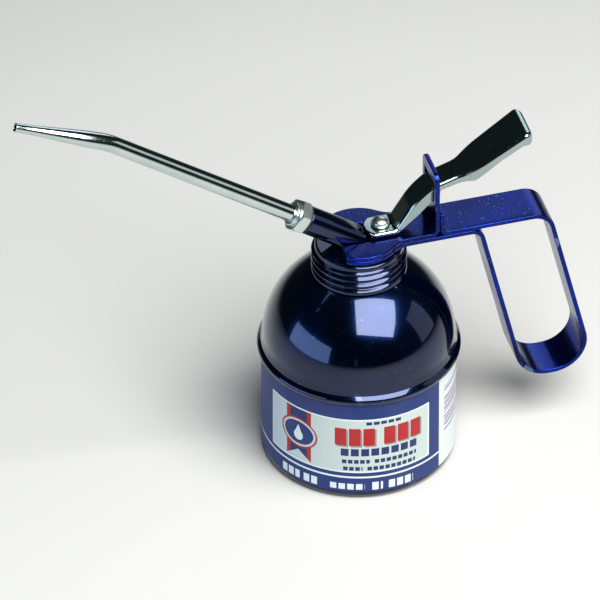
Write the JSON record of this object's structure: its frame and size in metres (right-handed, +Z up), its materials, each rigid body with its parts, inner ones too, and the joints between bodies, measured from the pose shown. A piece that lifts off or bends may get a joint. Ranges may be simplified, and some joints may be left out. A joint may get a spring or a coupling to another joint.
{
  "type": "thumb-pump oil can",
  "caption": "Steel oil can with a domed top, ribbed screw cap, bent strap handle, thumb lever with a pump inside, and a long bent rigid spout.",
  "frame": {"origin": "centre of the base, on the face that the can stands on", "axes": "+Z up along the can's axis, the spout points to -X and the handle to +X, and Y is across the can"},
  "size_m": [0.243, 0.0844, 0.1976],
  "materials": {
    "blue_paint": "glossy dark blue stoved enamel on steel sheet",
    "label_paper": "printed satin paper label in blue with a pale panel",
    "chrome": "bright chrome plate",
    "zinc_plate": "pale zinc plate",
    "brass": "turned brass",
    "spring_steel": "bright steel",
    "rubber": "black oil-resistant rubber",
    "fibre": "dark fibre washer"
  },
  "bodies": {
    "can": {"base_cup": "blue_paint", "dome_shell": "blue_paint", "paper_label": "label_paper"},
    "cap_seal": {"cap_gasket": "rubber"},
    "head": {"screw_cap": "blue_paint", "head_bracket": "blue_paint", "handle_strip": "blue_paint", "spout_socket": "blue_paint", "pump_head": "brass", "pump_barrel": "brass", "rod_packing": "rubber", "gland_nut": "brass", "return_spring": "spring_steel", "foot_valve": "brass", "ball_stop": "brass", "inlet_strainer": "brass"},
    "lever": {"thumb_lever": "chrome"},
    "plunger": {"plunger_rod": "zinc_plate", "spring_collar": "brass", "piston": "brass", "piston_seal": "rubber"},
    "delivery_valve": {"piston_valve_disc": "brass"},
    "inlet_valve": {"inlet_ball": "spring_steel"},
    "spout_seal": {"spout_washer": "fibre"},
    "spout": {"spout_nut": "zinc_plate", "spout_tube": "chrome"}
  },
  "joints": [
    {"name": "cap_rise", "type": "slide", "parent": "can", "child": "cap_seal", "axis": [0, 0, 1], "range_m": [0, 0.0096]},
    {"name": "cap_turn", "type": "hinge", "parent": "cap_seal", "child": "head", "pos_m": [0, 0, 0.1], "axis": [0, 0, 1], "range_deg": [0, 1080]},
    {"name": "lever_press", "type": "hinge", "parent": "head", "child": "lever", "pos_m": [0.03095, 0, 0.12224], "axis": [0, 1, 0], "range_deg": [0, 18], "stiffness_Nm_per_rad": 0.35, "springref_deg": -8.59},
    {"name": "plunger_lift", "type": "slide", "parent": "head", "child": "plunger", "axis": [0, 0, 1], "range_m": [0, 0.00779], "deforming": ["return_spring"]},
    {"name": "delivery_valve_lift", "type": "slide", "parent": "plunger", "child": "delivery_valve", "axis": [0, 0, 1], "range_m": [0, 0.001]},
    {"name": "inlet_valve_lift", "type": "slide", "parent": "head", "child": "inlet_valve", "axis": [0, 0, 1], "range_m": [0, 0.0012]},
    {"name": "spout_rise", "type": "slide", "parent": "head", "child": "spout_seal", "axis": [-0.8211, 0, 0.5707], "range_m": [0, 0.005]},
    {"name": "spout_turn", "type": "hinge", "parent": "spout_seal", "child": "spout", "pos_m": [0, 0, 0.10484], "axis": [-0.8211, 0, 0.5707], "range_deg": [0, 1440]}
  ],
  "couplings": [
    {"joint": "cap_turn", "follows": "cap_rise", "rad_per_m": 1963.5},
    {"joint": "lever_press", "follows": "plunger_lift", "rad_per_m": 40.322},
    {"joint": "spout_turn", "follows": "spout_rise", "rad_per_m": 5026.5}
  ]
}
